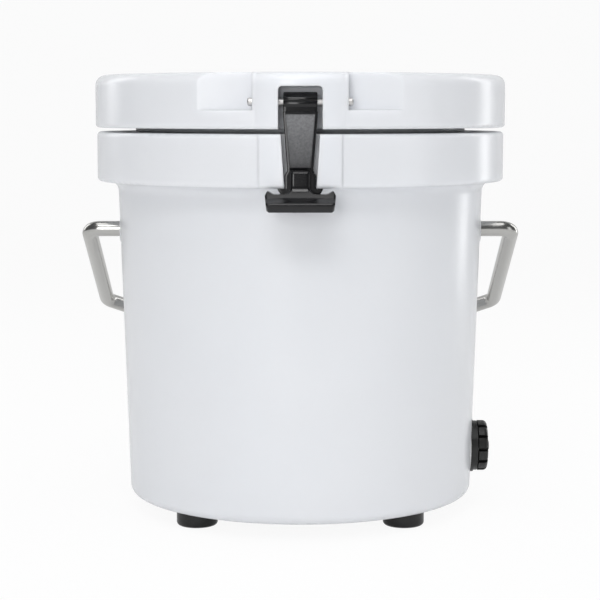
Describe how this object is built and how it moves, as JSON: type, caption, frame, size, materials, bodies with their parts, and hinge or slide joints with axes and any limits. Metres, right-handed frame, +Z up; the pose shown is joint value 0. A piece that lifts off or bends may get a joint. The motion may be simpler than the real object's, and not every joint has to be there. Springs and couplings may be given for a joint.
{
  "type": "bait bucket",
  "caption": "Insulated round bait bucket with hinged lid, rubber T-latch, steel bail handle, rubber feet and a screw-out side drain.",
  "frame": {"origin": "on the bucket's axis, on the plane that the four feet stand on", "axes": "+Z up along the bucket's axis, -Y towards the latch, +Y towards the lid's hinge, +X towards the drain"},
  "size_m": [0.3648, 0.3875, 0.3575],
  "materials": {
    "white_shell": "gloss",
    "foam": "matte",
    "black_rubber": "satin",
    "grey_rubber": "matte",
    "black_plastic": "satin",
    "white_bush": "satin",
    "stainless": "satin",
    "brass": "satin"
  },
  "bodies": {
    "bucket": {"body_shell": "white_shell", "body_foam": "foam", "body_fill_plug": "white_shell", "foot_front_left": "black_rubber", "foot_front_right": "black_rubber", "foot_rear_left": "black_rubber", "foot_rear_right": "black_rubber", "foot_inserts": "brass", "foot_screws": "stainless", "handle_socket_left": "white_bush", "handle_socket_right": "white_bush", "drain_fitting": "black_plastic", "drain_gasket": "grey_rubber", "hinge_pin": "stainless", "hinge_clip": "stainless"},
    "lid": {"lid_shell": "white_shell", "lid_foam": "foam", "lid_fill_plug": "white_shell", "lid_gasket": "grey_rubber", "latch_pin": "stainless"},
    "latch": {"latch_strap": "black_rubber"},
    "handle": {"bail_handle": "stainless"},
    "drain_seal": {"drain_cap_seal": "grey_rubber"},
    "drain_plug": {"drain_cap": "black_plastic"}
  },
  "joints": [
    {"name": "lid_hinge", "type": "hinge", "parent": "bucket", "child": "lid", "pos_m": [0, 0.177, 0.31375], "axis": [-1, 0, 0], "range_deg": [0, 100]},
    {"name": "latch_pivot", "type": "hinge", "parent": "lid", "child": "latch", "pos_m": [0, -0.159, 0.3355], "axis": [-1, 0, 0], "range_deg": [0, 100], "deforming": ["latch_strap"]},
    {"name": "handle_pivot", "type": "hinge", "parent": "bucket", "child": "handle", "pos_m": [0, 0, 0.2313], "axis": [1, 0, 0], "range_deg": [-16, 252]},
    {"name": "drain_turn", "type": "hinge", "parent": "drain_seal", "child": "drain_plug", "pos_m": [0.15, 0, 0.0483], "axis": [1, 0, 0], "range_deg": [0, 1080]},
    {"name": "drain_travel", "type": "slide", "parent": "bucket", "child": "drain_seal", "axis": [1, 0, 0], "range_m": [0, 0.009]}
  ],
  "couplings": [
    {"joint": "drain_travel", "follows": "drain_turn", "m_per_rad": 0.00047746}
  ]
}
